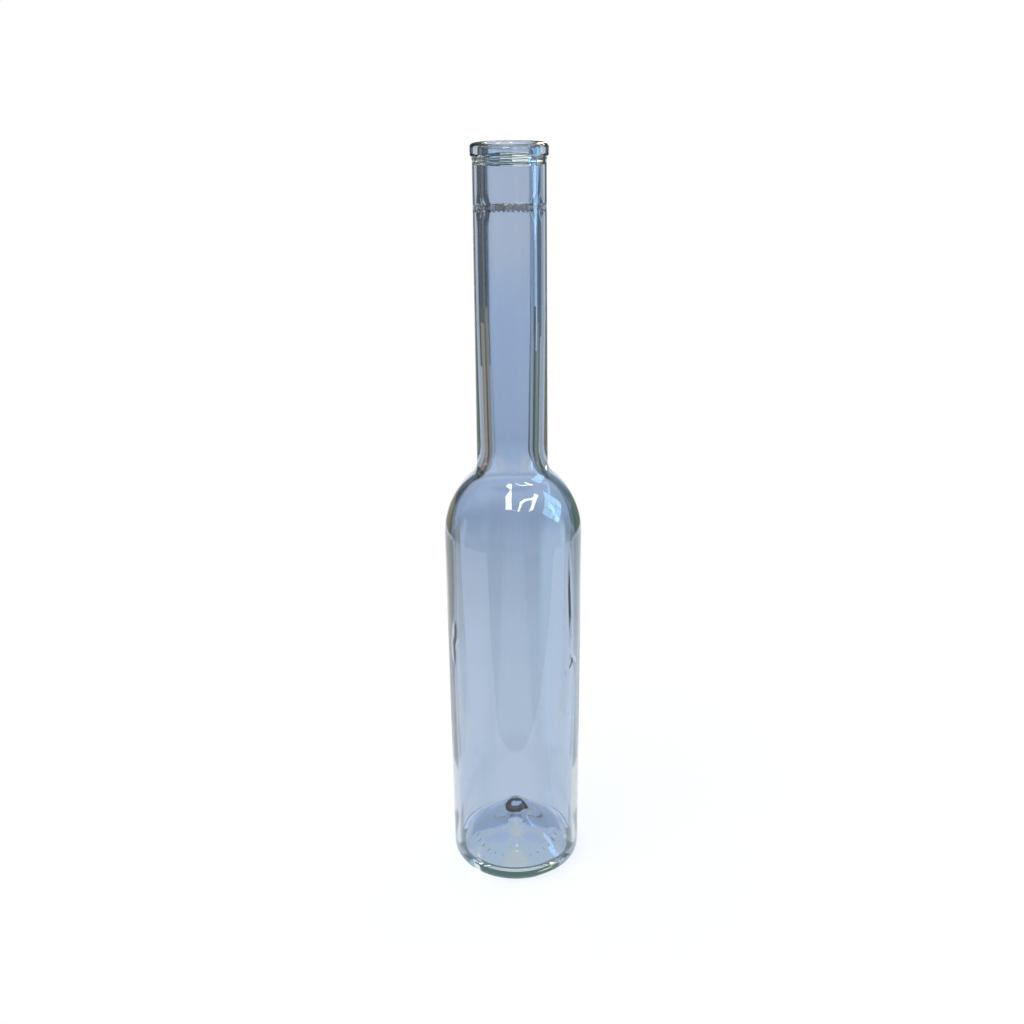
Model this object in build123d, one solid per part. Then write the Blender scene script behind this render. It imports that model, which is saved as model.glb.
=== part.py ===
from build123d import *
from math import asin, atan2, cos, degrees, hypot, radians, sin, sqrt, tan
import os

os.makedirs("parts", exist_ok=True)

# Clear moulded glass bottle with a slim body, a long neck and a plain finish for a cork stopper.
# Millimetres, +Z up along the bottle's axis, origin at the centre of the surface it stands on.
# The whole bottle is one piece of glass, turned from a single closed profile of radius and height.

# Body
height = 315.0
body_radius = 28.7
body_wall = 2.5
shoulder_start = 159.3
shoulder_radius = 34.2
cavity_shoulder_radius = 29.5

# Neck
neck_top_radius = 14.0
neck_taper_degrees = 0.26
neck_fillet = 8.7
neck_bore_radius = 9.4
neck_bore_length = 42.0
throat_radius = 8.5
throat_fillet = 20.0

# Finish: a stout ring round the mouth over a low, narrower collar
ring_radius = 14.8
ring_height = 4.6
ring_top_round = 1.5
ring_lower_round = 0.5
collar_radius = 14.2
collar_height = 1.1
collar_round = 0.15

# Corkage bore, which ends in the fold left by the moulding plunger
cork_bore_radius = 9.25
cork_bore_length = 20.8
mouth_round = 1.2
fold_height = 2.4
fold_depth = 0.6
fold_round = 0.4

# Heel and standing ring
heel_radius = 4.8
standing_ring_width = 2.0
standing_ring_round = 1.0

# Push up under the base, a cone that ends in a domed nub
punt_height = 16.0
nub_radius = 3.8
nub_rim_degrees = 76.0
nub_round = 0.8

# Floor of the cavity: a round trough along the wall, then a bell over the push up,
# whose domed tip has a share of the cavity's radius
floor_height = 6.5
floor_round = 0.8
bell_tip_share = 0.18
bell_tip_glass = 10.5

# Plain raised mould dots on the underside of the cone, in two short arcs
dot_radius = 0.8
dot_proud = 0.35
dot_root = 1.2
dot_circle_radius = 15.5
dots_per_arc = 6
dot_arc_degrees = 62.0
dot_arc_starts_degrees = (184.0, 294.0)


def on_circle(centre, radius, angle):
    """Point at an angle, in radians, on a circle in the profile plane."""
    return (centre[0] + radius * cos(angle), centre[1] + radius * sin(angle))


def arc_about(centre, radius, start_angle, end_angle):
    """Arc about a centre from one angle to another, in radians."""
    return ThreePointArc(
        on_circle(centre, radius, start_angle),
        on_circle(centre, radius, (start_angle + end_angle) / 2),
        on_circle(centre, radius, end_angle),
    )


def shoulder_arcs(wall_radius, convex_radius, fillet_radius, line_radius, line_height, taper):
    """Two arcs that lead from the upright wall, round the shoulder, into a tapered line above.

    The line has line_radius at line_height and widens downward by the taper angle.
    Returns the convex arc, the fillet arc and the point where the fillet meets the line.
    """
    centre = (wall_radius - convex_radius, shoulder_start)
    offset_x = line_radius + fillet_radius * cos(taper) - centre[0]
    offset_z = line_height + fillet_radius * sin(taper) - centre[1]
    along = offset_x * sin(taper) - offset_z * cos(taper)
    reach = convex_radius + fillet_radius
    drop = -along - sqrt(along ** 2 - offset_x ** 2 - offset_z ** 2 + reach ** 2)
    fillet_centre = (
        centre[0] + offset_x + drop * sin(taper),
        centre[1] + offset_z - drop * cos(taper),
    )
    join = atan2(fillet_centre[1] - centre[1], fillet_centre[0] - centre[0])
    half_turn = radians(180)
    convex = arc_about(centre, convex_radius, 0, join)
    fillet_arc = arc_about(fillet_centre, fillet_radius, join + half_turn, half_turn + taper)
    return convex, fillet_arc, on_circle(fillet_centre, fillet_radius, half_turn + taper)


def chain(points):
    """Straight runs through the points."""
    return [Line(start, end) for start, end in zip(points, points[1:])]


# Heights and radii that follow from the sizes above
ring_base = height - ring_height
collar_base = ring_base - collar_height
fold_top = height - mouth_round - cork_bore_length
fold_base = fold_top - fold_height
fold_radius = cork_bore_radius + fold_depth
throat_top = fold_base - neck_bore_length
cavity_radius = body_radius - body_wall
standing_outer = body_radius - heel_radius
standing_inner = standing_outer - standing_ring_width
nub_dome_radius = nub_radius / sin(radians(nub_rim_degrees))
nub_base = punt_height - nub_dome_radius * (1 - cos(radians(nub_rim_degrees)))
bell_top = punt_height + bell_tip_glass
bell_tip_radius = cavity_radius * bell_tip_share


def outside_edges():
    """Outside of the bottle, from the heel up to the outer corner of the mouth."""
    taper = radians(neck_taper_degrees)
    convex, fillet_arc, neck_foot = shoulder_arcs(
        body_radius, shoulder_radius, neck_fillet, neck_top_radius, collar_base, taper
    )
    heel = arc_about((standing_outer, heel_radius), heel_radius, -radians(90), 0)
    wall = Line((body_radius, heel_radius), (body_radius, shoulder_start))
    finish = chain([
        neck_foot,
        (neck_top_radius, collar_base),
        (collar_radius, collar_base),
        (collar_radius, ring_base),
        (ring_radius, ring_base),
        (ring_radius, height),
    ])
    return [heel, wall, convex, fillet_arc] + finish


def bore_edges():
    """Inside of the neck and cavity, from the mouth down to the trough along the wall."""
    narrowing = throat_top - shoulder_start - cavity_shoulder_radius
    taper = atan2(throat_radius - neck_bore_radius, narrowing)
    convex, fillet_arc, throat_foot = shoulder_arcs(
        cavity_radius, cavity_shoulder_radius, throat_fillet, neck_bore_radius, throat_top, taper
    )
    neck = chain([
        (ring_radius, height),
        (cork_bore_radius, height),
        (cork_bore_radius, fold_top),
        (fold_radius, fold_top),
        (fold_radius, fold_base),
        (neck_bore_radius, fold_base),
        (neck_bore_radius, throat_top),
        throat_foot,
    ])
    wall = Line((cavity_radius, shoulder_start), (cavity_radius, floor_height + floor_round))
    return neck + [fillet_arc, convex, wall]


def bell_edges():
    """Floor of the cavity, from the wall through the trough and over the bell to the axis."""
    trough_centre = (cavity_radius - floor_round, floor_height + floor_round)
    tip_centre = (0, bell_top - bell_tip_radius)
    across = (trough_centre[0] - tip_centre[0], trough_centre[1] - tip_centre[1])
    spread = asin((bell_tip_radius + floor_round) / hypot(*across))
    flank = atan2(across[1], across[0]) - spread
    quarter_turn = radians(90)
    trough = arc_about(trough_centre, floor_round, 0, flank - quarter_turn)
    tip = arc_about(tip_centre, bell_tip_radius, flank + quarter_turn, quarter_turn)
    side = Line(
        on_circle(trough_centre, floor_round, flank - quarter_turn),
        on_circle(tip_centre, bell_tip_radius, flank + quarter_turn),
    )
    return [trough, side, tip, Line((0, bell_top), (0, punt_height))]


def underside_edges():
    """Underside, from the nub's top on the axis down to the standing ring."""
    nub_centre = (0, punt_height - nub_dome_radius)
    nub = arc_about(nub_centre, nub_dome_radius, radians(90), radians(90 - nub_rim_degrees))
    return [nub] + chain([(nub_radius, nub_base), (standing_inner, 0), (standing_outer, 0)])


def rounded(face, point, radius):
    """The face with the corner at the point rounded off."""
    target = Vector(point[0], point[1])
    vertex = min(face.vertices(), key=lambda corner: (Vector(corner.X, corner.Y) - target).length)
    return fillet(vertex, radius)


def bottle_profile():
    """Closed profile in the plane of radius and height, with its small corners rounded."""
    face = make_face(outside_edges() + bore_edges() + bell_edges() + underside_edges())
    rounds = [
        ((collar_radius, collar_base), collar_round),
        ((ring_radius, ring_base), ring_lower_round),
        ((ring_radius, height), ring_top_round),
        ((cork_bore_radius, height), mouth_round),
        ((fold_radius, fold_top), fold_round),
        ((fold_radius, fold_base), fold_round),
        ((nub_radius, nub_base), nub_round),
        ((standing_inner, 0), standing_ring_round),
    ]
    for point, radius in rounds:
        face = rounded(face, point, radius)
    return face


def mould_dots():
    """Short pegs square to the cone of the push up, rooted in the glass."""
    slope = atan2(nub_base, standing_inner - nub_radius)
    seat_height = (standing_inner - dot_circle_radius) * tan(slope)
    peg = Pos(0, 0, -dot_proud) * Cylinder(
        dot_radius, dot_proud + dot_root, align=(Align.CENTER, Align.CENTER, Align.MIN)
    )
    seat = Pos(dot_circle_radius, 0, seat_height) * Rot(0, degrees(slope), 0)
    step = dot_arc_degrees / (dots_per_arc - 1)
    turns = [start + step * index for start in dot_arc_starts_degrees for index in range(dots_per_arc)]
    return [Rot(0, 0, turn) * seat * peg for turn in turns]


def glass_bottle():
    """The whole bottle as one solid of glass."""
    bottle = revolve(Plane.XZ * bottle_profile(), axis=Axis.Z)
    for dot in mould_dots():
        bottle = bottle + dot
    bottle.label = "glass_bottle"
    return bottle


export_step(glass_bottle(), "parts/glass_bottle.step")
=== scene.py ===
import math

import bpy
import numpy as np
from mathutils import Matrix


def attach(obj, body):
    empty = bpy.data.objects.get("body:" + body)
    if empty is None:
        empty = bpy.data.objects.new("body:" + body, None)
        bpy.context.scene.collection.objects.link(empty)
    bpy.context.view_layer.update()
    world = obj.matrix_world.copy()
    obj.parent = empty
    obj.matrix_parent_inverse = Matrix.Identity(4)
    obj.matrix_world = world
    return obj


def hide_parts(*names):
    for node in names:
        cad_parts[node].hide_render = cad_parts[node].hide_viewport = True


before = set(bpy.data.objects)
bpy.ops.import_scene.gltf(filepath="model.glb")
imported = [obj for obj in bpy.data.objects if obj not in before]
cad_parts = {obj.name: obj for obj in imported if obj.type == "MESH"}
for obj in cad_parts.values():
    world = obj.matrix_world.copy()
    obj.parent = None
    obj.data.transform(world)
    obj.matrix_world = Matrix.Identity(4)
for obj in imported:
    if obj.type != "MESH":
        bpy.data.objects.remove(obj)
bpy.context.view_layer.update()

# The bottle is one lathed mesh with relief, in clear glass. Clear glass shows what stands round it,
# so most of this script is the studio, whose sheets and cards are stage pieces and not the object.

# Sizes of the bottle in millimetres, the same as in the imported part
MM = 0.001
HEIGHT = 315.0
BODY_RADIUS = 28.7
BODY_WALL = 2.5
SHOULDER_START = 159.3
SHOULDER_RADIUS = 34.2
CAVITY_SHOULDER_RADIUS = 29.5
NECK_TOP_RADIUS = 14.0
NECK_TAPER = math.radians(0.26)
NECK_FILLET = 8.7
NECK_BORE_RADIUS = 9.4
NECK_BORE_LENGTH = 42.0
THROAT_RADIUS = 8.5
THROAT_FILLET = 20.0
RING_RADIUS = 14.8
RING_HEIGHT = 4.6
RING_TOP_ROUND = 1.5
RING_LOWER_ROUND = 0.5
COLLAR_RADIUS = 14.2
COLLAR_HEIGHT = 1.1
COLLAR_ROUND = 0.15
CORK_BORE_RADIUS = 9.25
CORK_BORE_LENGTH = 20.8
MOUTH_ROUND = 1.2
FOLD_HEIGHT = 2.4
FOLD_DEPTH = 0.6
FOLD_ROUND = 0.4
HEEL_RADIUS = 4.8
STANDING_RING_WIDTH = 2.0
STANDING_RING_ROUND = 1.0
PUNT_HEIGHT = 16.0
NUB_RADIUS = 3.8
NUB_RIM = math.radians(76.0)
NUB_ROUND = 0.8
FLOOR_HEIGHT = 6.5
FLOOR_ROUND = 0.8
BELL_TIP_SHARE = 0.18
BELL_TIP_GLASS = 10.5

# Heights and radii that follow from the sizes above
RING_BASE = HEIGHT - RING_HEIGHT
COLLAR_BASE = RING_BASE - COLLAR_HEIGHT
FOLD_TOP = HEIGHT - MOUTH_ROUND - CORK_BORE_LENGTH
FOLD_BASE = FOLD_TOP - FOLD_HEIGHT
FOLD_MIDDLE = (FOLD_TOP + FOLD_BASE) / 2
FOLD_RADIUS = CORK_BORE_RADIUS + FOLD_DEPTH
THROAT_TOP = FOLD_BASE - NECK_BORE_LENGTH
CAVITY_RADIUS = BODY_RADIUS - BODY_WALL
STANDING_OUTER = BODY_RADIUS - HEEL_RADIUS
STANDING_INNER = STANDING_OUTER - STANDING_RING_WIDTH
NUB_DOME_RADIUS = NUB_RADIUS / math.sin(NUB_RIM)
BELL_TOP = PUNT_HEIGHT + BELL_TIP_GLASS
BELL_TIP_RADIUS = CAVITY_RADIUS * BELL_TIP_SHARE
MOUTH_MIDDLE = (RING_RADIUS + CORK_BORE_RADIUS) / 2

# Mesh density, in millimetres along the profile and in columns round the axis
RUN_STEP = 2.0
ARC_STEP_ANGLE = math.radians(4.0)
ARC_STEP_LENGTH = 0.9
COLUMNS = 480
BORE_STEP = 0.5
UNDER_STEP = 0.4
WALL_STEP = 0.8

# Uneven waves round the bottle as random seed, how many waves are added up, and the fewest and
# most ripples that one of them has
FLUTE_WAVES = (11, 6, 36, 66)
UPPER_SCALLOP_WAVES = (12, 5, 9, 40)
LOWER_SCALLOP_WAVES = (13, 5, 9, 40)
SLOW_WAVES = (21, 5, 2, 7)
FINE_WAVES = (22, 6, 9, 26)
BELL_WAVES = (41, 5, 3, 9)

# Relief of the fold inside the finish, in millimetres, and azimuths of its knots in degrees
FLUTE_DEPTH = 0.15
FLUTE_REACH = 1.3
SCALLOP = 0.35
SCALLOP_REACH = 4.5
FOLD_TILT = 1.1
BULGE_DEPTH = 0.1
BULGE_REACH = 2.4
KNOT_AZIMUTHS = (-77.0, -58.0, 60.0, 80.0)
KNOT_DEPTH = 0.9
KNOT_WIDE = 1.4
KNOT_TALL = 3.0

# Waves inside the body's wall, in millimetres: their depth, how slowly they change up the wall,
# and the height from which they and the dents come in
SLOW_DEPTH = 0.10
SLOW_LENGTH = 23.0
SLOW_SHIFT = 0.7
FINE_DEPTH = 0.012
FINE_LENGTH = 41.0
WALL_LOW = 12.0
WALL_FADE = 12.0

# Waves on the bell over the push up, in millimetres, which fade near its tip and its foot
BELL_DEPTH = 0.22
BELL_RING = 2.6
BELL_RING_SHIFT = 1.0
BELL_RINGS = 0.3
BELL_EDGE = 1.0
BELL_TIP_FADE = 6.0
BELL_FOOT = 2.0
BELL_FOOT_FADE = 3.0

# Dents and ridges of the body's wall: azimuth in degrees, height, width, tallness, depth, lean
DENTS = (
    (-66, 118.0, 1.4, 3.0, 0.40, 0.25),
    (-62, 114.0, 1.0, 2.2, -0.25, 0.5),
    (-69, 109.0, 1.3, 4.0, 0.32, -0.05),
    (59, 136.0, 0.8, 12.0, 0.17, -0.07),
    (55, 130.0, 0.7, 15.0, -0.10, -0.06),
    (64, 105.0, 1.2, 2.4, 0.26, -0.9),
    (58, 103.5, 1.0, 2.0, -0.22, 0.8),
    (54, 101.0, 1.4, 1.6, 0.18, 0.3),
)

# Marks of the mould under the base: azimuths in degrees from the front towards +X
DOT_RADIUS = 0.8
DOT_PROUD = 0.35
DOT_EDGE = 0.15
DOT_CIRCLE_RADIUS = 15.5
DOTS_PER_ARC = 6
DOT_ARC = 62.0
DOT_ARC_STARTS = (-86.0, 24.0)
KNURLS = 96
KNURL_DEPTH = 0.08
KNURL_REACH = 1.3


def on_circle(centre, radius, angle):
    """Point at an angle, in radians, on a circle in the profile plane."""
    return (centre[0] + radius * math.cos(angle), centre[1] + radius * math.sin(angle))


def arc(centre, radius, start, end):
    """Points of an arc in the profile plane, both ends included."""
    turn = abs(end - start)
    steps = max(2, math.ceil(turn / ARC_STEP_ANGLE), math.ceil(turn * radius / ARC_STEP_LENGTH))
    return [on_circle(centre, radius, start + (end - start) * i / steps) for i in range(steps + 1)]


def corner_arc(before, corner, after, radius):
    """Arc that rounds the corner between two straight runs."""
    into = np.subtract(corner, before) / math.dist(corner, before)
    out = np.subtract(after, corner) / math.dist(after, corner)
    side = math.copysign(1.0, into[0] * out[1] - into[1] * out[0])
    turn = math.acos(float(np.clip(np.dot(into, out), -1, 1)))
    trim = radius * math.tan(turn / 2)
    start = np.subtract(corner, into * trim)
    centre = start + side * radius * np.array([-into[1], into[0]])
    first = math.atan2(start[1] - centre[1], start[0] - centre[0])
    return arc(tuple(centre), radius, first, first + side * turn)


def run(points, step=RUN_STEP):
    """Straight runs through the points, divided into short steps."""
    out = [points[0]]
    for start, end in zip(points, points[1:]):
        steps = max(1, math.ceil(math.dist(start, end) / step))
        out += [tuple(np.add(start, np.subtract(end, start) * i / steps)) for i in range(1, steps + 1)]
    return out


def rounded_run(corners, step=RUN_STEP):
    """Run through (radius, height, rounding) corners, each rounded off by its own rounding."""
    points = [corners[0][:2]]
    for before, corner, after in zip(corners, corners[1:], corners[2:]):
        points += corner_arc(before[:2], corner[:2], after[:2], corner[2]) if corner[2] else [corner[:2]]
    return run(points + [corners[-1][:2]], step)


def shoulder(wall_radius, convex_radius, fillet_radius, line_radius, line_height, taper):
    """Convex arc and fillet from the upright wall into a tapered line above, as points going up."""
    centre = (wall_radius - convex_radius, SHOULDER_START)
    dx = line_radius + fillet_radius * math.cos(taper) - centre[0]
    dz = line_height + fillet_radius * math.sin(taper) - centre[1]
    along = dx * math.sin(taper) - dz * math.cos(taper)
    reach = convex_radius + fillet_radius
    drop = -along - math.sqrt(along ** 2 - dx ** 2 - dz ** 2 + reach ** 2)
    fillet_centre = (centre[0] + dx + drop * math.sin(taper), centre[1] + dz - drop * math.cos(taper))
    join = math.atan2(fillet_centre[1] - centre[1], fillet_centre[0] - centre[0])
    convex = arc(centre, convex_radius, 0, join)
    fillet = arc(fillet_centre, fillet_radius, join + math.pi, math.pi + taper)
    return convex + fillet[1:]


def outside_profile():
    """From the nub's top on the axis, under the base, up the outside to the mouth's top face."""
    nub = arc((0, PUNT_HEIGHT - NUB_DOME_RADIUS), NUB_DOME_RADIUS, math.pi / 2, math.pi / 2 - NUB_RIM)
    foot = corner_arc(nub[-2], nub[-1], (STANDING_INNER, 0), NUB_ROUND)
    trim = sum(1 for point in nub if point[1] > foot[0][1])
    nub = nub[:trim] + foot
    under = rounded_run([
        (*nub[-1], 0),
        (STANDING_INNER, 0, STANDING_RING_ROUND),
        (STANDING_OUTER, 0, 0),
    ], UNDER_STEP)
    heel = arc((STANDING_OUTER, HEEL_RADIUS), HEEL_RADIUS, -math.pi / 2, 0)
    wall = run([(BODY_RADIUS, HEEL_RADIUS), (BODY_RADIUS, SHOULDER_START)])
    bend = shoulder(BODY_RADIUS, SHOULDER_RADIUS, NECK_FILLET, NECK_TOP_RADIUS, COLLAR_BASE, NECK_TAPER)
    finish = rounded_run([
        (*bend[-1], 0),
        (NECK_TOP_RADIUS, COLLAR_BASE, 0),
        (COLLAR_RADIUS, COLLAR_BASE, COLLAR_ROUND),
        (COLLAR_RADIUS, RING_BASE, 0),
        (RING_RADIUS, RING_BASE, RING_LOWER_ROUND),
        (RING_RADIUS, HEIGHT, RING_TOP_ROUND),
        (MOUTH_MIDDLE, HEIGHT, 0),
    ])
    return nub, under[1:], heel[1:], wall[1:], bend[1:], finish[1:]


def inside_profile():
    """From the mouth's top face down the bore and cavity to the bell's top on the axis."""
    narrowing = THROAT_TOP - SHOULDER_START - CAVITY_SHOULDER_RADIUS
    taper = math.atan2(THROAT_RADIUS - NECK_BORE_RADIUS, narrowing)
    bend = shoulder(
        CAVITY_RADIUS, CAVITY_SHOULDER_RADIUS, THROAT_FILLET, NECK_BORE_RADIUS, THROAT_TOP, taper
    )[::-1]
    bore = rounded_run([
        (MOUTH_MIDDLE, HEIGHT, 0),
        (CORK_BORE_RADIUS, HEIGHT, MOUTH_ROUND),
        (CORK_BORE_RADIUS, FOLD_TOP, 0),
        (FOLD_RADIUS, FOLD_TOP, FOLD_ROUND),
        (FOLD_RADIUS, FOLD_BASE, FOLD_ROUND),
        (NECK_BORE_RADIUS, FOLD_BASE, 0),
        (NECK_BORE_RADIUS, THROAT_TOP, 0),
        (*bend[0], 0),
    ], BORE_STEP)
    tip_centre = (0, BELL_TOP - BELL_TIP_RADIUS)
    trough_centre = (CAVITY_RADIUS - FLOOR_ROUND, FLOOR_HEIGHT + FLOOR_ROUND)
    across = np.subtract(trough_centre, tip_centre)
    spread = math.asin((BELL_TIP_RADIUS + FLOOR_ROUND) / math.hypot(*across))
    flank = math.atan2(across[1], across[0]) - spread
    trough = arc(trough_centre, FLOOR_ROUND, 0, flank - math.pi / 2)
    tip = arc(tip_centre, BELL_TIP_RADIUS, flank + math.pi / 2, math.pi / 2)
    wall = run([bend[-1], trough[0]], WALL_STEP)[1:]
    side = run([trough[-1], tip[0]], WALL_STEP)[1:]
    return bore[1:], bend[1:], wall + trough[1:] + side, tip[1:]


def bottle_rows():
    """Profile rows as radius, height and a tag for the surface that each belongs to."""
    names = ("under", "under", "under", "outer", "outer", "finish", "bore", "throat", "floor", "floor")
    stretches = outside_profile() + inside_profile()
    rows = [(r, z, name) for stretch, name in zip(stretches, names) for r, z in stretch]
    radii = np.array([row[0] for row in rows])
    heights = np.array([row[1] for row in rows])
    tags = np.array([row[2] for row in rows])
    return radii, heights, tags


def row_normals(radii, heights):
    """Unit normals of the profile that point out of the glass."""
    dr = np.gradient(radii)
    dz = np.gradient(heights)
    length = np.hypot(dr, dz)
    return dz / length, -dr / length


def ring_faces(rows, count):
    """Faces between neighbouring rings of points, each with the same count of points."""
    faces = []
    for i in range(rows - 1):
        for j in range(count):
            k = (j + 1) % count
            faces.append((i * count + j, i * count + k, (i + 1) * count + k, (i + 1) * count + j))
    return faces


def lathe(name, radii, heights, angles, offset, lift):
    """Closed mesh of revolution whose ends lie on the axis, pushed along its normals and lifted."""
    normal_r, normal_z = row_normals(radii, heights)
    count = len(angles)
    rows = len(radii) - 2
    ring = slice(1, rows + 1)
    r = radii[ring, None] + normal_r[ring, None] * offset[ring]
    z = heights[ring, None] + normal_z[ring, None] * offset[ring] + lift[ring]
    body = np.stack([r * np.sin(angles), -r * np.cos(angles), z], axis=-1).reshape(-1, 3)
    poles = np.array([[0, 0, heights[0]], [0, 0, heights[-1]]])
    verts = np.concatenate([body, poles]) * MM
    faces = ring_faces(rows, count)
    first, last = rows * count, rows * count + 1
    for j in range(count):
        k = (j + 1) % count
        faces.append((first, k, j))
        faces.append((last, (rows - 1) * count + j, (rows - 1) * count + k))
    mesh = bpy.data.meshes.new(name)
    mesh.from_pydata(verts.tolist(), [], faces)
    mesh.validate()
    mesh.update()
    for polygon in mesh.polygons:
        polygon.use_smooth = True
    piece = bpy.data.objects.new(name, mesh)
    bpy.context.scene.collection.objects.link(piece)
    return piece


def waves(seed, count, low, high, angles):
    """Uneven wave round the axis: a few whole numbers of ripples with random phases and strengths."""
    rng = np.random.default_rng(seed)
    total = np.zeros_like(angles)
    for _ in range(count):
        ripples = rng.integers(low, high + 1)
        total += rng.uniform(0.4, 1.0) * np.sin(ripples * angles + rng.uniform(0, 2 * math.pi))
    return total / math.sqrt(count)


def turns_from(azimuth, angles):
    """Shortest turn in radians from an azimuth in degrees to each column."""
    return (angles[None, :] - math.radians(azimuth) + math.pi) % (2 * math.pi) - math.pi


def pressed(heights, angles, azimuth, height, wide, tall, depth, lean=0.0, radius=BODY_RADIUS):
    """Smooth dent or ridge: azimuth in degrees from the front towards +X, sizes in millimetres."""
    level = heights[:, None] - height
    side = turns_from(azimuth, angles) * radius - lean * level
    return depth * np.exp(-(side / wide) ** 2 - (level / tall) ** 2)


def fold_relief(heights, angles):
    """Pinched flutes and the smooth inward bulge where the plunger's skirt cooled the bore."""
    level = heights[:, None] - FOLD_MIDDLE
    reach = np.exp(-(level / FLUTE_REACH) ** 4)
    offset = FLUTE_DEPTH * waves(*FLUTE_WAVES, angles) * reach
    offset += BULGE_DEPTH * np.exp(-(level / BULGE_REACH) ** 2)
    upper = SCALLOP * waves(*UPPER_SCALLOP_WAVES, angles)
    lower = SCALLOP * waves(*LOWER_SCALLOP_WAVES, angles)
    lift = np.where(level > 0, upper, lower) * np.minimum(np.abs(level) / FOLD_HEIGHT * 2, 1)
    lift += FOLD_TILT * np.cos(angles)
    return offset, lift * np.exp(-(level / SCALLOP_REACH) ** 4)


def knots(heights, angles):
    """Bulges of the bore at both sides of the fold."""
    relief = np.zeros((len(heights), len(angles)))
    for azimuth in KNOT_AZIMUTHS:
        size = (KNOT_WIDE, KNOT_TALL, KNOT_DEPTH)
        relief += pressed(heights, angles, azimuth, FOLD_MIDDLE, *size, radius=CORK_BORE_RADIUS)
    return relief


def mould_dots(radii, angles):
    """Two short arcs of raised dots on the cone under the base."""
    relief = np.zeros((len(radii), len(angles)))
    slope = math.atan2(PUNT_HEIGHT, STANDING_INNER - NUB_RADIUS)
    along = (radii[:, None] - DOT_CIRCLE_RADIUS) / math.cos(slope)
    cone = (radii > NUB_RADIUS + NUB_ROUND) & (radii < STANDING_INNER - STANDING_RING_ROUND)
    for start in DOT_ARC_STARTS:
        for i in range(DOTS_PER_ARC):
            turn = turns_from(start + DOT_ARC * i / (DOTS_PER_ARC - 1), angles)
            distance = np.hypot(along, turn * DOT_CIRCLE_RADIUS)
            relief += DOT_PROUD * np.clip((DOT_RADIUS + DOT_EDGE - distance) / (2 * DOT_EDGE), 0, 1)
    return relief * cone[:, None]


def knurls(radii, heights, angles):
    """Fine notches all round the standing ring."""
    ring = (heights < KNURL_REACH) & (radii > STANDING_INNER - STANDING_RING_ROUND)
    return -KNURL_DEPTH * (0.5 + 0.5 * np.cos(KNURLS * angles))[None, :] * ring[:, None]


def bell_relief(radii, angles):
    """Broad uneven waves on the bell over the push up."""
    rings = radii[:, None] / BELL_RING
    turns = waves(*BELL_WAVES, angles)[None, :] * np.sin(rings + BELL_RING_SHIFT)
    turns = turns + BELL_RINGS * np.cos(rings * 2)
    tip_fade = np.clip(radii / BELL_TIP_FADE, 0, 1)[:, None]
    foot_fade = np.clip((CAVITY_RADIUS - BELL_FOOT - radii) / BELL_FOOT_FADE, 0, 1)[:, None]
    return BELL_DEPTH * turns * tip_fade * foot_fade


def wall_relief(heights, angles):
    """Slow waves that blowing leaves on the inside of a moulded wall."""
    slow = waves(*SLOW_WAVES, angles)[None, :] * np.sin(heights[:, None] / SLOW_LENGTH + SLOW_SHIFT)
    fine = waves(*FINE_WAVES, angles)[None, :] * np.cos(heights[:, None] / FINE_LENGTH)
    return SLOW_DEPTH * slow + FINE_DEPTH * fine


def bottle_relief(radii, heights, tags, angles):
    """How far each point of the bottle moves out along its normal, and how far up."""
    offset = np.zeros((len(radii), len(angles)))
    lift = np.zeros_like(offset)
    bore = tags == "bore"
    offset[bore], lift[bore] = fold_relief(heights[bore], angles)
    offset[bore] += knots(heights[bore], angles)
    under = (tags == "under") | ((tags == "outer") & (heights < HEEL_RADIUS))
    offset[under] += mould_dots(radii[under], angles)
    offset[under] += knurls(radii[under], heights[under], angles)
    wall = (tags == "throat") | (tags == "floor")
    fade = np.clip((heights[wall] - WALL_LOW) / WALL_FADE, 0, 1)[:, None]
    offset[wall] += wall_relief(heights[wall], angles) * fade
    bell = (tags == "floor") & (heights > FLOOR_HEIGHT) & (radii < CAVITY_RADIUS - BELL_EDGE)
    offset[bell] += bell_relief(radii[bell], angles)
    for dent in DENTS:
        offset[wall] += pressed(heights[wall], angles, *dent) * fade
    return offset, lift


# Glass: the tint of each surface that light crosses, and the colour that its depth adds.
# The tint's pale blue is painted light: the bluish backdrop that the clear glass shows.
GLASS_IOR = 1.5
GLASS_TINT = (0.695, 0.79, 0.925, 1)
GLASS_DEPTH_COLOUR = (0.0, 0.10, 0.225, 1)
GLASS_DEPTH_DENSITY = 15.0
GLASS_SHADOW = (0.93, 0.95, 0.97, 1)

# Glasses of the fold's facets, in blocks of as many columns as a random number in a range.
# Their brown, grey and pink tints are painted shade and painted reflection of the dark
# surroundings that the wrinkled fold refracts.
FOLD_PAINTED_TINTS = (
    ("fold_painted_brown", (0.42, 0.34, 0.27, 1)),
    ("fold_painted_umber", (0.48, 0.41, 0.35, 1)),
    ("fold_painted_grey", (0.50, 0.51, 0.54, 1)),
    ("fold_painted_pink", (0.92, 0.78, 0.75, 1)),
)
FOLD_PAINTED_CLEAR = 0.8
BLOCK_SEED = 31
BLOCK_COLUMNS = (9, 28)


def fold_painted_blocks():
    """Material number of each column in the fold: upright facets of uneven width, each with its painted
    shade tint.
    """
    rng = np.random.default_rng(BLOCK_SEED)
    blocks = []
    while len(blocks) < COLUMNS:
        blocks += [1 + int(rng.integers(len(FOLD_PAINTED_TINTS)))] * int(rng.integers(*BLOCK_COLUMNS))
    return blocks[:COLUMNS]


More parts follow.
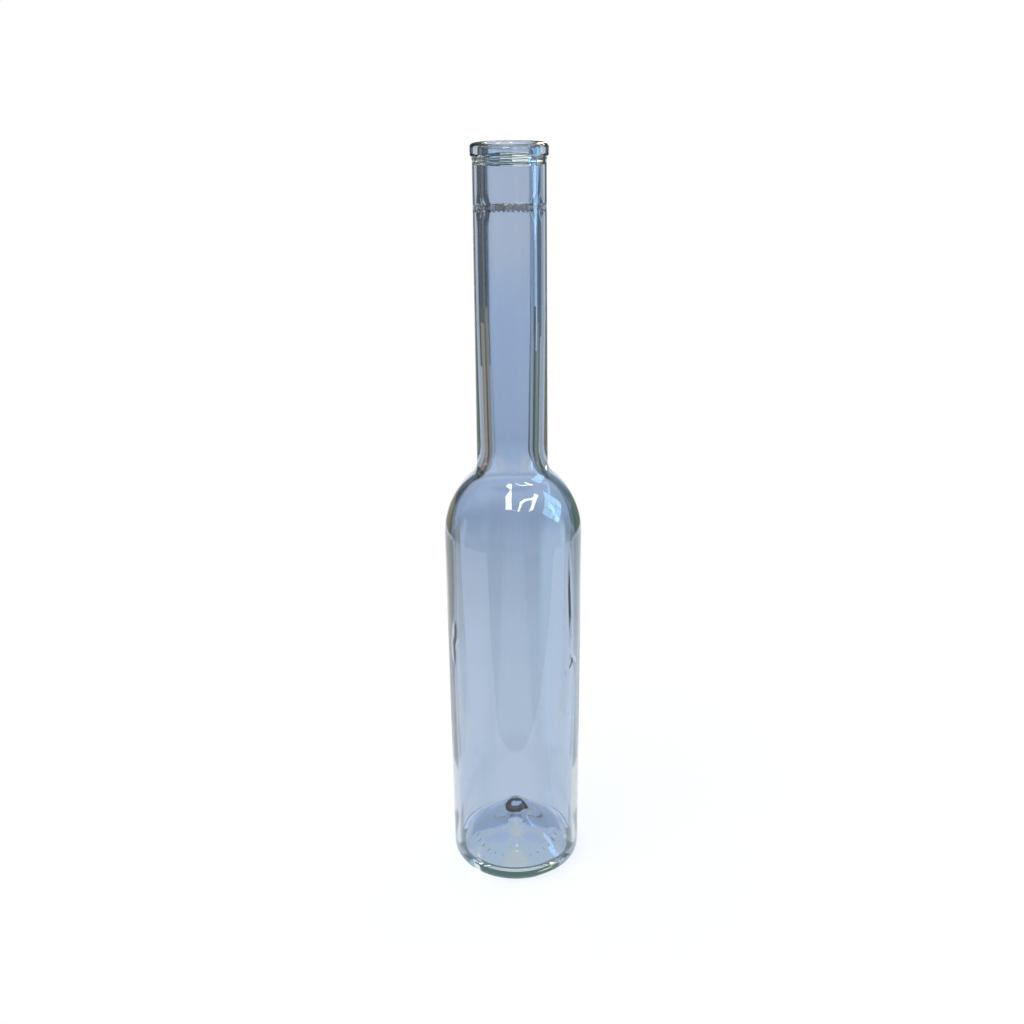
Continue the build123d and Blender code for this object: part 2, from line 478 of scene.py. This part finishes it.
def make_bottle():
    radii, heights, tags = bottle_rows()
    angles = np.linspace(0, 2 * math.pi, COLUMNS, endpoint=False)
    offset, lift = bottle_relief(radii, heights, tags, angles)
    bottle = lathe("bottle_glass", radii, heights, angles, offset, lift)
    bottle.data.materials.append(glass_material("clear_glass", GLASS_TINT))
    # The fold's facets get glasses whose tints are painted shade and painted reflection
    for name, tint in FOLD_PAINTED_TINTS:
        bottle.data.materials.append(glass_material(name, tint, FOLD_PAINTED_CLEAR, False))
    middle = (heights[1:-2] + heights[2:-1]) / 2
    # Rows in the fold, which get the painted shade and reflection tints
    painted_fold_rows = (tags[1:-2] == "bore") & (middle > FOLD_BASE) & (middle < FOLD_TOP)
    blocks = fold_painted_blocks()
    for i in np.flatnonzero(painted_fold_rows):
        for j, polygon in enumerate(bottle.data.polygons[i * COLUMNS:(i + 1) * COLUMNS]):
            polygon.material_index = blocks[j]
    return bottle


def node_material(name):
    """Empty material with its nodes, its links and its output node."""
    material = bpy.data.materials.new(name)
    material.use_nodes = True
    nodes = material.node_tree.nodes
    nodes.clear()
    output = nodes.new("ShaderNodeOutputMaterial")
    return material, nodes, material.node_tree.links, output


def maths(nodes, links, operation, *values):
    """Result of a math node on sockets and plain numbers."""
    node = nodes.new("ShaderNodeMath")
    node.operation = operation
    for socket, value in zip(node.inputs, values):
        if isinstance(value, bpy.types.NodeSocket):
            links.new(value, socket)
        else:
            socket.default_value = value
    return node.outputs[0]


def mixed(nodes, links, share, first, second):
    """Shader between two shaders, the second one where the share is one."""
    mix = nodes.new("ShaderNodeMixShader")
    for socket, value in zip(mix.inputs, (share, first, second)):
        links.new(value, socket)
    return mix.outputs[0]


def own_distance(nodes, links, place):
    """Distance of a surface point from its object's own origin."""
    distance = nodes.new("ShaderNodeVectorMath")
    distance.operation = "LENGTH"
    links.new(place.outputs["Object"], distance.inputs[0])
    return distance.outputs["Value"]


def glass_material(name, tint, clear=1.0, deep=True):
    """Glass that tints what goes through it, and when deep also by the way inside it."""
    material, nodes, links, output = node_material(name)
    shader = nodes.new("ShaderNodeBsdfPrincipled")
    shader.inputs["Base Color"].default_value = tint
    shader.inputs["Roughness"].default_value = 0.0
    shader.inputs["IOR"].default_value = GLASS_IOR
    shader.inputs["Transmission Weight"].default_value = clear
    if deep:
        absorption = nodes.new("ShaderNodeVolumeAbsorption")
        absorption.inputs["Color"].default_value = GLASS_DEPTH_COLOUR
        absorption.inputs["Density"].default_value = GLASS_DEPTH_DENSITY
        links.new(absorption.outputs["Volume"], output.inputs["Volume"])
    path = nodes.new("ShaderNodeLightPath")
    through = nodes.new("ShaderNodeBsdfTransparent")
    through.inputs["Color"].default_value = GLASS_SHADOW
    shadow = path.outputs["Is Shadow Ray"]
    surface = mixed(nodes, links, shadow, shader.outputs["BSDF"], through.outputs["BSDF"])
    links.new(surface, output.inputs["Surface"])
    return material


def glow_material(name, colour, strength):
    """Plain glow of one colour."""
    material, nodes, links, output = node_material(name)
    shader = nodes.new("ShaderNodeEmission")
    shader.inputs["Color"].default_value = (*colour, 1)
    shader.inputs["Strength"].default_value = strength
    links.new(shader.outputs["Emission"], output.inputs["Surface"])
    return material


def sheet(name, verts, faces, material):
    """Stage piece made of a few flat faces."""
    mesh = bpy.data.meshes.new(name)
    mesh.from_pydata(verts, [], faces)
    mesh.update()
    mesh.materials.append(material)
    piece = bpy.data.objects.new(name, mesh)
    bpy.context.scene.collection.objects.link(piece)
    return piece


def ladder_faces(steps):
    """Faces of an upright strip whose points come in pairs, low and high."""
    return [(2 * i, 2 * i + 2, 2 * i + 3, 2 * i + 1) for i in range(steps)]


def hide_from_camera_and_light(piece):
    """Keep a sheet out of the camera's view and out of the light that falls on the object."""
    piece.visible_camera = False
    piece.visible_diffuse = False
    piece.visible_shadow = False
    piece.visible_volume_scatter = False


def show_in_gloss_only(piece):
    """Leave a sheet visible to mirrored rays only."""
    hide_from_camera_and_light(piece)
    piece.visible_glossy = True
    piece.visible_transmission = False


def show_through_glass_only(piece):
    """Leave a sheet visible to refracted rays only."""
    hide_from_camera_and_light(piece)
    piece.visible_glossy = False
    piece.visible_transmission = True


def seen_directly(nodes, links):
    """One for camera, glossy and transmission rays, zero for the light that falls on the object."""
    path = nodes.new("ShaderNodeLightPath")
    total = path.outputs["Is Camera Ray"]
    for kind in ("Is Glossy Ray", "Is Transmission Ray"):
        total = maths(nodes, links, "MAXIMUM", total, path.outputs[kind])
    return total


# White floor, in metres: part of its white is its own, the rest is the studio light that falls on it
FLOOR_HALF = 40.0
FLOOR_COLOUR = (0.5, 0.5, 0.5, 1)
FLOOR_WHITE = 0.52


def make_floor():
    material, nodes, links, output = node_material("floor_white")
    lit = nodes.new("ShaderNodeBsdfDiffuse")
    lit.inputs["Color"].default_value = FLOOR_COLOUR
    own = nodes.new("ShaderNodeEmission")
    white = maths(nodes, links, "MULTIPLY", seen_directly(nodes, links), FLOOR_WHITE)
    both = nodes.new("ShaderNodeAddShader")
    links.new(white, own.inputs["Strength"])
    links.new(lit.outputs[0], both.inputs[0])
    links.new(own.outputs[0], both.inputs[1])
    links.new(both.outputs[0], output.inputs["Surface"])
    half = FLOOR_HALF
    verts = [(-half, -half, 0), (half, -half, 0), (half, half, 0), (-half, half, 0)]
    sheet("floor", verts, [(0, 1, 2, 3)], material)


def card(name, verts, faces, colour, strength=1.0):
    """Glowing card round the bottle, which only its glass and its gloss show."""
    piece = sheet(name, verts, faces, glow_material(name, colour, strength))
    hide_from_camera_and_light(piece)
    return piece


# Upright curved flags round the bottle, in metres; those at its sides change colour at the split
FLAG_DISTANCE = 0.50
FLAG_HEIGHT = 0.50
FLAG_SPLIT = 0.160
FLAG_STEP = 4.0

# Strips of one flag as start and end azimuth from its straight view, with the upper and lower colour
COOL_STRIPS = (
    (22, 29, (0.27, 0.35, 0.42), (0.16, 0.20, 0.14)),
    (29, 32, (0.19, 0.24, 0.28), (0.16, 0.20, 0.14)),
    (32, 41, (0.12, 0.15, 0.17), (0.16, 0.21, 0.16)),
    (41, 57, (0.30, 0.38, 0.45), (0.11, 0.15, 0.115)),
    (57, 85, (0.112, 0.157, 0.205), (0.288, 0.369, 0.294)),
)
WARM_STRIPS = (
    (25, 32, (0.17, 0.18, 0.175), (0.42, 0.34, 0.21)),
    (32, 41, (0.075, 0.08, 0.078), (0.30, 0.28, 0.20)),
    (41, 57, (0.166, 0.181, 0.196), (0.154, 0.141, 0.105)),
    (57, 85, (0.109, 0.127, 0.14), (0.395, 0.328, 0.23)),
)

# Dim card behind the camera, which the lower shoulder mirrors
FRONT_COLOUR = (0.16, 0.19, 0.23)
FRONT_HALF = 24.0


def flag(name, start, end, low, high, colour):
    """Upright curved card between two azimuths in degrees, counted from +Y towards +X."""
    steps = max(1, round((end - start) / FLAG_STEP))
    verts = []
    for i in range(steps + 1):
        angle = math.radians(start + (end - start) * i / steps)
        x = FLAG_DISTANCE * math.sin(angle)
        y = FLAG_DISTANCE * math.cos(angle)
        verts += [(x, y, low), (x, y, high)]
    card(name, verts, ladder_faces(steps), colour)


def make_flags():
    for turn in (0, 180):
        for side, label, strips in ((1, "right", COOL_STRIPS), (-1, "left", WARM_STRIPS)):
            for i, (start, end, upper, lower) in enumerate(strips):
                a, b = sorted((turn + side * start, turn + side * end))
                name = f"{turn}_{label}_{i}"
                flag(f"flag_upper_{name}", a, b, FLAG_SPLIT, FLAG_HEIGHT, upper)
                flag(f"flag_lower_{name}", a, b, 0, FLAG_SPLIT, lower)
    flag("flag_front", 180 - FRONT_HALF, 180 + FRONT_HALF, 0, FLAG_HEIGHT, FRONT_COLOUR)


# Cards overhead lie on a sphere about the shoulder, placed by azimuth and rise in degrees
SKY_RADIUS = 1.0
SKY_CENTRE = (0, 0, 0.17)

CEILING_COLOUR = (0.34, 0.36, 0.29)
CEILING_RISES = (32.0, 45.0, 60.0, 75.0)
CEILING_STEP = 15
CEILING_RADIUS = 1.08

# Dark band high behind the bottle, over everything that is seen straight through it
BACK_COLOUR = (0.08, 0.13, 0.10)
BACK_LOW = 10.0
BACK_HIGH = 36.0
BACK_HALF = 100.0
BACK_STEPS = 20
BACK_RADIUS = 1.05

# Bright strips on the dark band, which the finish shows: azimuths, rises, colour and strength
GLINTS = (
    (-5, 42, 28.5, 35.5, (1.0, 0.86, 0.58), 6.0),
    (2, 38, 12.0, 15.0, (1.0, 0.86, 0.58), 5.0),
    (52, 80, 28.0, 36.0, (0.35, 0.65, 1.0), 4.0),
)


def on_sky(azimuth, rise, radius=SKY_RADIUS):
    """Point on the sphere of cards, its azimuth counted from +Y towards +X."""
    a, e = math.radians(azimuth), math.radians(rise)
    return (
        SKY_CENTRE[0] + radius * math.sin(a) * math.cos(e),
        SKY_CENTRE[1] + radius * math.cos(a) * math.cos(e),
        SKY_CENTRE[2] + radius * math.sin(e),
    )


def sky_card(name, corners, colour, strength):
    """Bright card through corners given as azimuth and rise."""
    verts = [on_sky(azimuth, rise) for azimuth, rise in corners]
    return card(name, verts, [tuple(range(len(verts)))], colour, strength)


def sky_patch(name, start, end, low, high, colour, strength):
    """Bright card between two azimuths and two rises."""
    return sky_card(name, ((start, low), (end, low), (end, high), (start, high)), colour, strength)


def make_ceiling():
    """Dome over the bottle, open below its lowest rise."""
    turns = range(0, 360, CEILING_STEP)
    count = len(turns)
    verts = [on_sky(turn, rise, CEILING_RADIUS) for rise in CEILING_RISES for turn in turns]
    verts.append(on_sky(0, 90, CEILING_RADIUS))
    faces = ring_faces(len(CEILING_RISES), count)
    last = (len(CEILING_RISES) - 1) * count
    for j in range(count):
        faces.append((last + j, last + (j + 1) % count, len(verts) - 1))
    card("ceiling", verts, faces, CEILING_COLOUR)


def make_back():
    verts = []
    for i in range(BACK_STEPS + 1):
        turn = -BACK_HALF + 2 * BACK_HALF * i / BACK_STEPS
        verts += [on_sky(turn, BACK_LOW, BACK_RADIUS), on_sky(turn, BACK_HIGH, BACK_RADIUS)]
    card("back_band", verts, ladder_faces(BACK_STEPS), BACK_COLOUR)
    for i, glint in enumerate(GLINTS):
        sky_patch(f"glint_{i}", *glint)


# Bright windows that the shoulder mirrors: corners as azimuth and rise in degrees
WARM_WHITE = (1.0, 1.0, 0.93)
WINDOW_STRENGTH = 17
BAR = ((196, 44), (183, 44), (184, 66), (188, 74), (207, 62))
LEG = ((146, 38), (137, 38), (104, 48), (108, 54))
ARCH_OUTER = ((170, 42), (160, 54), (143, 56), (117, 51))
ARCH_INNER = ((166, 41), (157, 50), (144, 53), (121, 49))

# Part of a window that only the glass of the base shows: azimuths, rises, colour and strength
SPARK = (172, 182, 51, 52.5, (1.0, 0.98, 0.88), 12)

# Blue panes of a window on the right: corners, panes each way, and gap as a share of a pane.
# The far ones are seen through the glass, and the near ones, which stand inside the flags, by gloss.
SKY_BLUE = (0.34, 0.68, 1.0)
PANED = ((115, 31), (66, 37), (74, 9), (109, 13))
PANED_STRENGTH = 14
NEAR_PANED = ((122, 28), (86, 44), (72, 16), (98, 6))
NEAR_PANED_STRENGTH = 9
NEAR_PANED_RADIUS = 0.42
PANES = 3
PANE_GAP = 0.08


def between(corners, u, v):
    """Point inside a four cornered card at fractions u and v of its two directions."""
    first, second, third, fourth = [np.array(corner) for corner in corners]
    low = first + (second - first) * u
    high = fourth + (third - fourth) * u
    return tuple(low + (high - low) * v)


def make_panes(label, whole, radius, strength):
    """Blue panes of one window as one piece, with narrow gaps between them."""
    verts = []
    for i in range(PANES):
        for j in range(PANES):
            u, v = i / PANES, j / PANES
            u_end, v_end = (i + 1 - PANE_GAP) / PANES, (j + 1 - PANE_GAP) / PANES
            for a, b in ((u, v), (u_end, v), (u_end, v_end), (u, v_end)):
                verts.append(on_sky(*between(whole, a, b), radius))
    faces = [(k, k + 1, k + 2, k + 3) for k in range(0, len(verts), 4)]
    return card(f"window_panes_{label}", verts, faces, SKY_BLUE, strength)


def make_windows():
    windows = [("bar", BAR), ("leg", LEG)]
    for i in range(len(ARCH_OUTER) - 1):
        windows.append((f"arch_{i}", (ARCH_OUTER[i], ARCH_OUTER[i + 1], ARCH_INNER[i + 1], ARCH_INNER[i])))
    for label, corners in windows:
        show_in_gloss_only(sky_card(f"window_{label}", corners, WARM_WHITE, WINDOW_STRENGTH))
    show_through_glass_only(sky_patch("spark_0", *SPARK))
    show_through_glass_only(make_panes("far", PANED, SKY_RADIUS, PANED_STRENGTH))
    show_in_gloss_only(make_panes("near", NEAR_PANED, NEAR_PANED_RADIUS, NEAR_PANED_STRENGTH))


# Tones on glowing floor sheets that only the glass shows, as distance in metres and colour, which
# blend into each other. They are painted shade and painted light: the darker and lighter body,
# its dark edges and its light lines, as seen through the glass.
TONE_REACH = 2.0
MIDDLE_TONES = (
    (0.03, (0.94, 0.90, 0.83)),
    (0.13, (0.94, 0.90, 0.83)),
    (0.20, (0.88, 0.86, 0.81)),
    (0.29, (0.77, 0.76, 0.73)),
    (0.36, (0.68, 0.68, 0.70)),
    (0.45, (0.57, 0.60, 0.64)),
    (0.64, (0.75, 0.77, 0.82)),
    (1.00, (0.76, 0.79, 0.85)),
    (1.90, (0.97, 0.90, 0.85)),
)
LEFT_EDGE_TONES = (
    (0.03, (0.23, 0.255, 0.238)),
    (0.13, (0.269, 0.308, 0.322)),
    (0.20, (0.166, 0.194, 0.196)),
    (0.40, (0.154, 0.181, 0.161)),
)
LEFT_LINE_TONES = (
    (0.03, (0.86, 0.80, 0.68)),
    (0.16, (0.82, 0.79, 0.74)),
    (0.22, (0.68, 0.64, 0.57)),
    (0.40, (0.50, 0.46, 0.38)),
)
RIGHT_EDGE_TONES = (
    (0.03, (0.269, 0.335, 0.392)),
    (0.13, (0.422, 0.536, 0.616)),
    (0.25, (0.294, 0.382, 0.434)),
    (0.40, (0.218, 0.268, 0.266)),
)
RIGHT_LINE_TONES = (
    (0.03, (0.92, 0.95, 0.92)),
    (0.30, (0.88, 0.91, 0.87)),
    (0.40, (0.50, 0.50, 0.44)),
)
RIGHT_STRIP_TONES = (
    (0.03, (0.93, 0.93, 0.89)),
    (0.30, (0.87, 0.88, 0.85)),
    (0.40, (0.80, 0.86, 0.88)),
)

# Ring sectors of tones as label, side, apex on X in metres, start and end azimuth, and tones
APEX = 0.027
STRIP_APEX = 0.014
TONE_SECTORS = (
    ("left_edge", -1, APEX, 17, 50, LEFT_EDGE_TONES),
    ("left_line", -1, APEX, 9, 17, LEFT_LINE_TONES),
    ("right_edge", 1, APEX, 17, 50, RIGHT_EDGE_TONES),
    ("right_line", 1, APEX, 9, 17, RIGHT_LINE_TONES),
    ("right_strip", 1, STRIP_APEX, 2.5, 12, RIGHT_STRIP_TONES),
)
MIDDLE_REACH = 6.0
MIDDLE_LIFT = 0.0010
SECTOR_NEAR = 0.004
SECTOR_REACH = 0.48
SECTOR_LIFT = 0.0014
SECTOR_LIFT_STEP = 0.0002
SOFT_SIDE = math.radians(1.6)
SOFT_NEAR_RIM = 0.002
SOFT_RIM = 0.12
FAN_STEP = 5


def fading(nodes, links, value, start, end):
    """Smooth fall from one to nothing as a value goes from start to end."""
    ramp = nodes.new("ShaderNodeMapRange")
    ramp.interpolation_type = "SMOOTHSTEP"
    ramp.inputs["From Min"].default_value = start
    ramp.inputs["From Max"].default_value = end
    ramp.inputs["To Min"].default_value = 1
    ramp.inputs["To Max"].default_value = 0
    links.new(value, ramp.inputs["Value"])
    return ramp.outputs["Result"]


def soften(material, half, side, near, near_rim, reach, rim):
    """Fade a ring sector out towards its sides, in radians, and towards its rims, in metres."""
    nodes = material.node_tree.nodes
    links = material.node_tree.links
    output = next(node for node in nodes if node.type == "OUTPUT_MATERIAL")
    glow = next(node for node in nodes if node.type == "EMISSION")
    place = nodes.new("ShaderNodeTexCoord")
    axes = nodes.new("ShaderNodeSeparateXYZ")
    links.new(place.outputs["Object"], axes.inputs[0])
    turn = maths(nodes, links, "ARCTAN2", axes.outputs["X"], axes.outputs["Y"])
    off = maths(nodes, links, "ABSOLUTE", turn)
    distance = own_distance(nodes, links, place)
    total = fading(nodes, links, off, half - side, half)
    for start, end in ((reach - rim, reach), (near + near_rim, near)):
        total = maths(nodes, links, "MULTIPLY", total, fading(nodes, links, distance, start, end))
    bare = nodes.new("ShaderNodeBsdfTransparent")
    surface = mixed(nodes, links, total, bare.outputs[0], glow.outputs[0])
    links.new(surface, output.inputs["Surface"])


def tone_material(name, tones):
    """Glow whose colour follows the distance from the sheet's own origin."""
    material, nodes, links, output = node_material(name)
    place = nodes.new("ShaderNodeTexCoord")
    share = maths(nodes, links, "DIVIDE", own_distance(nodes, links, place), TONE_REACH)
    ramp = nodes.new("ShaderNodeValToRGB")
    ramp.color_ramp.interpolation = "EASE"
    shader = nodes.new("ShaderNodeEmission")
    links.new(share, ramp.inputs["Fac"])
    links.new(ramp.outputs["Color"], shader.inputs["Color"])
    links.new(shader.outputs["Emission"], output.inputs["Surface"])
    stops = ramp.color_ramp.elements
    while len(stops) < len(tones):
        stops.new(1.0)
    for stop, (reach, colour) in zip(stops, tones):
        stop.position = reach / TONE_REACH
        stop.color = (*colour, 1)
    return material


def fan(name, place, start, end, near, reach, material):
    """Flat ring sector between two azimuths in degrees about its own origin, seen through glass."""
    steps = max(2, math.ceil(abs(end - start) / FAN_STEP))
    verts = []
    for i in range(steps + 1):
        angle = math.radians((end - start) * (i / steps - 0.5))
        for radius in (near, reach):
            verts.append((radius * math.sin(angle), radius * math.cos(angle), 0))
    faces = [(2 * i, 2 * i + 1, 2 * i + 3, 2 * i + 2) for i in range(steps)]
    piece = sheet(name, verts, faces, material)
    piece.location = place
    piece.rotation_euler = (0, 0, -math.radians((start + end) / 2))
    show_through_glass_only(piece)


def make_tones():
    # Painted shade and light that the body shows through its glass
    middle = tone_material("tone_middle", MIDDLE_TONES)
    fan("tone_middle", (0, 0, MIDDLE_LIFT), 0, 360, BODY_RADIUS * MM, MIDDLE_REACH, middle)
    for i, (label, side, apex, start, end, stops) in enumerate(TONE_SECTORS):
        tones = tone_material("tone_" + label, stops)
        half = math.radians((end - start) / 2)
        soften(tones, half, SOFT_SIDE, SECTOR_NEAR, SOFT_NEAR_RIM, SECTOR_REACH, SOFT_RIM)
        for turn, flip in ((0, 1), (180, -1)):
            place = (flip * side * apex, 0, SECTOR_LIFT + SECTOR_LIFT_STEP * i)
            a, b = sorted((turn + side * start, turn + side * end))
            fan(f"tone_{label}_{turn}", place, a, b, SECTOR_NEAR, SECTOR_REACH, tones)


# Dark shape on the floor before the bottle, which only its gloss shows, in metres
SHADE = (
    (-0.9, -1.5), (-0.9, -0.93), (-0.26, -0.28), (-0.065, -0.133), (0.03, -0.131),
    (0.144, -0.143), (1.2, -0.15), (1.2, -1.5),
)
SHADE_LIFT = 0.001
SHADE_COLOUR = (0.05, 0.06, 0.08)


def make_shade():
    verts = [(x, y, SHADE_LIFT) for x, y in SHADE]
    glow = glow_material("front_shade", SHADE_COLOUR, 1)
    show_in_gloss_only(sheet("front_shade", verts, [tuple(range(len(verts)))], glow))


# Sheets under the bottle, which only the glass shows, as start and end azimuth, inner and outer radius
# in metres, colour, and width of the soft rim, or none for a hard one. The pale ones are painted light
# that the base gathers, and the dark heel ring is a painted contact shadow.
BASE_RADIUS = 0.0212
BASE_PAINTED_GREY = (0.82, 0.84, 0.80)
BASE_PAINTED_BLUE = (0.72, 0.77, 0.86)
BASE_PAINTED_BEIGE = (0.96, 0.90, 0.74)
HEEL_PAINTED_SHADOW = (0.09, 0.18, 0.15)
BASE_SHEETS = (
    ("front", 150, 210, 0.002, BASE_RADIUS, BASE_PAINTED_BEIGE, 0.003),
    ("blue_left", 275, 340, 0.004, 0.015, BASE_PAINTED_BLUE, 0.003),
    ("blue_right", 25, 85, 0.004, 0.015, BASE_PAINTED_BLUE, 0.003),
    ("back", -25, 30, 0.002, 0.016, BASE_PAINTED_BEIGE, 0.004),
    ("heel", 75, 285, BASE_RADIUS, 0.0285, HEEL_PAINTED_SHADOW, 0),
)
BASE_SOFT_SIDE = math.radians(16.0)
BASE_LIFT = 0.0002
BASE_SHEET_LIFT = 0.0003
BASE_SHEET_STEP = 0.00005


def make_base_cards():
    # Painted light under the base, and a painted contact shadow in the heel ring
    grey = glow_material("base_whole", BASE_PAINTED_GREY, 1)
    fan("base_whole", (0, 0, BASE_LIFT), 0, 360, 0, BASE_RADIUS, grey)
    for i, (label, start, end, near, reach, colour, rim) in enumerate(BASE_SHEETS):
        name = "base_" + label
        glow = glow_material(name, colour, 1)
        if rim:
            soften(glow, math.radians((end - start) / 2), BASE_SOFT_SIDE, near, rim, reach, rim)
        fan(name, (0, 0, BASE_SHEET_LIFT + BASE_SHEET_STEP * i), start, end, near, reach, glow)


# Low upright sheet inside the standing ring, which the heel shows, in metres and degrees; its dark
# green is a painted contact shadow
LIP_RADIUS = 0.0214
LIP_LOW = 0.0003
LIP_HIGH = 0.003
LIP_HALF = 50.0
LIP_PAINTED_SHADOW = (0.08, 0.16, 0.13)

# Bright strips before it, painted highlights that the heel shows, as azimuths from the front, heights
# in metres and colour
LIP_HIGHLIGHT_GAP = 0.0001
LIP_PAINTED_HIGHLIGHTS = (
    (-60, -36, 0.0008, 0.0014, (0.22, 0.62, 0.74)),
    (-56, -42, 0.0018, 0.0022, (0.75, 0.95, 0.99)),
    (10, 27, 0.0005, 0.0011, (0.86, 0.88, 0.62)),
    (22, 43, 0.0014, 0.0020, (0.86, 0.88, 0.62)),
    (36, 53, 0.0022, 0.0028, (0.86, 0.88, 0.62)),
)

# Light upright sheets close behind the bottle, which the bell over the push up shows: painted light in the
# base
NEAR_RADIUS = 0.045
NEAR_LOW = 0.002
NEAR_HIGH = 0.03
NEAR_FROM = 20.0
NEAR_TO = 90.0
NEAR_COLOUR = (0.90, 0.88, 0.83)

# Sheets that hug the neck's sides, which the strips between its bore and its edge show: painted shade
# and painted reflection that make the neck's dark and light bands. Each is start and end azimuth from
# the front, then the upper and the lower colour
SLEEVE_RADIUS = 0.0153
SLEEVE_LOW = 0.190
SLEEVE_SPLIT = 0.2475
SLEEVE_HIGH = 0.3085
SLEEVE_STAGGERS = (0.007, -0.011, 0.0, -0.018, -0.006, 0.004)
LEFT_SLEEVES = (
    (68, 80, (0.113, 0.125, 0.122), (0.37, 0.31, 0.23)),
    (80, 88, (0.113, 0.125, 0.122), (0.13, 0.12, 0.09)),
    (88, 106, (0.113, 0.125, 0.122), (0.37, 0.31, 0.23)),
    (106, 116, (0.113, 0.125, 0.122), (0.58, 0.61, 0.66)),
    (116, 126, (0.58, 0.61, 0.66), (0.58, 0.61, 0.66)),
)
RIGHT_SLEEVES = (
    (68, 78, (0.54, 0.66, 0.80), (0.070, 0.095, 0.075)),
    (78, 84, (0.54, 0.66, 0.80), (0.235, 0.296, 0.233)),
    (84, 92, (0.115, 0.165, 0.22), (0.235, 0.296, 0.233)),
    (92, 100, (0.115, 0.165, 0.22), (0.105, 0.137, 0.108)),
    (100, 108, (0.115, 0.165, 0.22), (0.52, 0.55, 0.60)),
    (108, 126, (0.52, 0.56, 0.62), (0.52, 0.55, 0.60)),
)

# Degrees per step of an upright sheet, its fewest steps, and the share of its height that a
# pointed one still has at its two ends
UPRIGHT_STEP = 4
UPRIGHT_STEPS = 6
POINT_SHARE = 0.02


def upright(name, radius, start, end, low, high, colour, pointed=False):
    """Upright curved sheet, seen through glass, between azimuths counted from the front towards +X."""
    steps = max(UPRIGHT_STEPS, math.ceil(abs(end - start) / UPRIGHT_STEP))
    verts = []
    for i in range(steps + 1):
        angle = math.radians(start + (end - start) * i / steps)
        x = radius * math.sin(angle)
        y = -radius * math.cos(angle)
        top = low + (high - low) * (math.sin(math.pi * i / steps) + POINT_SHARE) if pointed else high
        verts += [(x, y, low), (x, y, top)]
    show_through_glass_only(sheet(name, verts, ladder_faces(steps), glow_material(name, colour, 1)))


def make_lip():
    # A painted contact shadow, with painted highlights before it
    upright("base_lip", LIP_RADIUS, -LIP_HALF, LIP_HALF, LIP_LOW, LIP_HIGH, LIP_PAINTED_SHADOW)
    for i, strip in enumerate(LIP_PAINTED_HIGHLIGHTS):
        upright(f"lip_highlight_{i}", LIP_RADIUS + LIP_HIGHLIGHT_GAP, *strip, pointed=True)


def make_near():
    upright("near_right", NEAR_RADIUS, 180 - NEAR_TO, 180 - NEAR_FROM, NEAR_LOW, NEAR_HIGH, NEAR_COLOUR)
    upright("near_left", NEAR_RADIUS, 180 + NEAR_FROM, 180 + NEAR_TO, NEAR_LOW, NEAR_HIGH, NEAR_COLOUR)


def make_sleeves():
    # Painted dark and light bands in the neck, which only the glass shows
    for label, side, strips in (("left", -1, LEFT_SLEEVES), ("right", 1, RIGHT_SLEEVES)):
        for i, (start, end, upper, lower) in enumerate(strips):
            a, b = sorted((side * start, side * end))
            split = SLEEVE_SPLIT + SLEEVE_STAGGERS[i]
            upright(f"sleeve_upper_{label}_{i}", SLEEVE_RADIUS, a, b, split, SLEEVE_HIGH, upper)
            upright(f"sleeve_lower_{label}_{i}", SLEEVE_RADIUS, a, b, SLEEVE_LOW, split, lower)


# Studio light: what the world sheds on the object, and a wide soft sun, in degrees
WORLD_WHITE = (1, 1, 1, 1)
WORLD_LIGHT = 0.75
SUN_ENERGY = 0.9
SUN_WIDTH = 50
SUN_TILT = (30, -25)


def make_world():
    """White world whose light on the object is weaker than the white that is seen."""
    world = bpy.data.worlds.new("studio")
    bpy.context.scene.world = world
    world.use_nodes = True
    nodes = world.node_tree.nodes
    links = world.node_tree.links
    nodes.clear()
    output = nodes.new("ShaderNodeOutputWorld")
    ambient = nodes.new("ShaderNodeBackground")
    ambient.inputs["Strength"].default_value = WORLD_LIGHT
    ambient.inputs["Color"].default_value = WORLD_WHITE
    shown = nodes.new("ShaderNodeBackground")
    shown.inputs["Color"].default_value = WORLD_WHITE
    surface = mixed(nodes, links, seen_directly(nodes, links), ambient.outputs[0], shown.outputs[0])
    links.new(surface, output.inputs["Surface"])


def make_sun():
    data = bpy.data.lights.new("soft_sun", "SUN")
    data.angle = math.radians(SUN_WIDTH)
    data.energy = SUN_ENERGY
    lamp = bpy.data.objects.new("soft_sun", data)
    bpy.context.scene.collection.objects.link(lamp)
    lamp.rotation_euler = (math.radians(SUN_TILT[0]), math.radians(SUN_TILT[1]), 0)


# Camera of the photograph: pixels of its frame, degrees and metres
FRAME_PIXELS = 1024
FOCAL_PIXELS = 1134.0
SENSOR_MM = 36.0
CAMERA_DISTANCE = 0.440
CAMERA_HEIGHT = 0.3431
CAMERA_PITCH = math.radians(21.7)
CAMERA_ROLL = math.radians(-0.62)
CAMERA_YAW = math.radians(0.05)
CAMERA_CLIP = 0.01


def make_camera():
    data = bpy.data.cameras.new("camera")
    data.sensor_width = SENSOR_MM
    data.lens = SENSOR_MM * FOCAL_PIXELS / FRAME_PIXELS
    data.clip_start = CAMERA_CLIP
    camera = bpy.data.objects.new("camera", data)
    bpy.context.scene.collection.objects.link(camera)
    turn = (
        Matrix.Rotation(CAMERA_YAW, 4, "Z")
        @ Matrix.Rotation(math.pi / 2 - CAMERA_PITCH, 4, "X")
        @ Matrix.Rotation(CAMERA_ROLL, 4, "Z")
    )
    camera.matrix_world = Matrix.Translation((0, -CAMERA_DISTANCE, CAMERA_HEIGHT)) @ turn
    bpy.context.scene.camera = camera


bottle = make_bottle()
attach(bottle, "root")
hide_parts("glass_bottle")

make_floor()
make_flags()
make_ceiling()
make_back()
make_windows()
make_tones()
make_shade()
make_base_cards()
make_lip()
make_near()
make_sleeves()
make_world()
make_sun()
make_camera()
bpy.context.scene.view_settings.view_transform = "Standard"
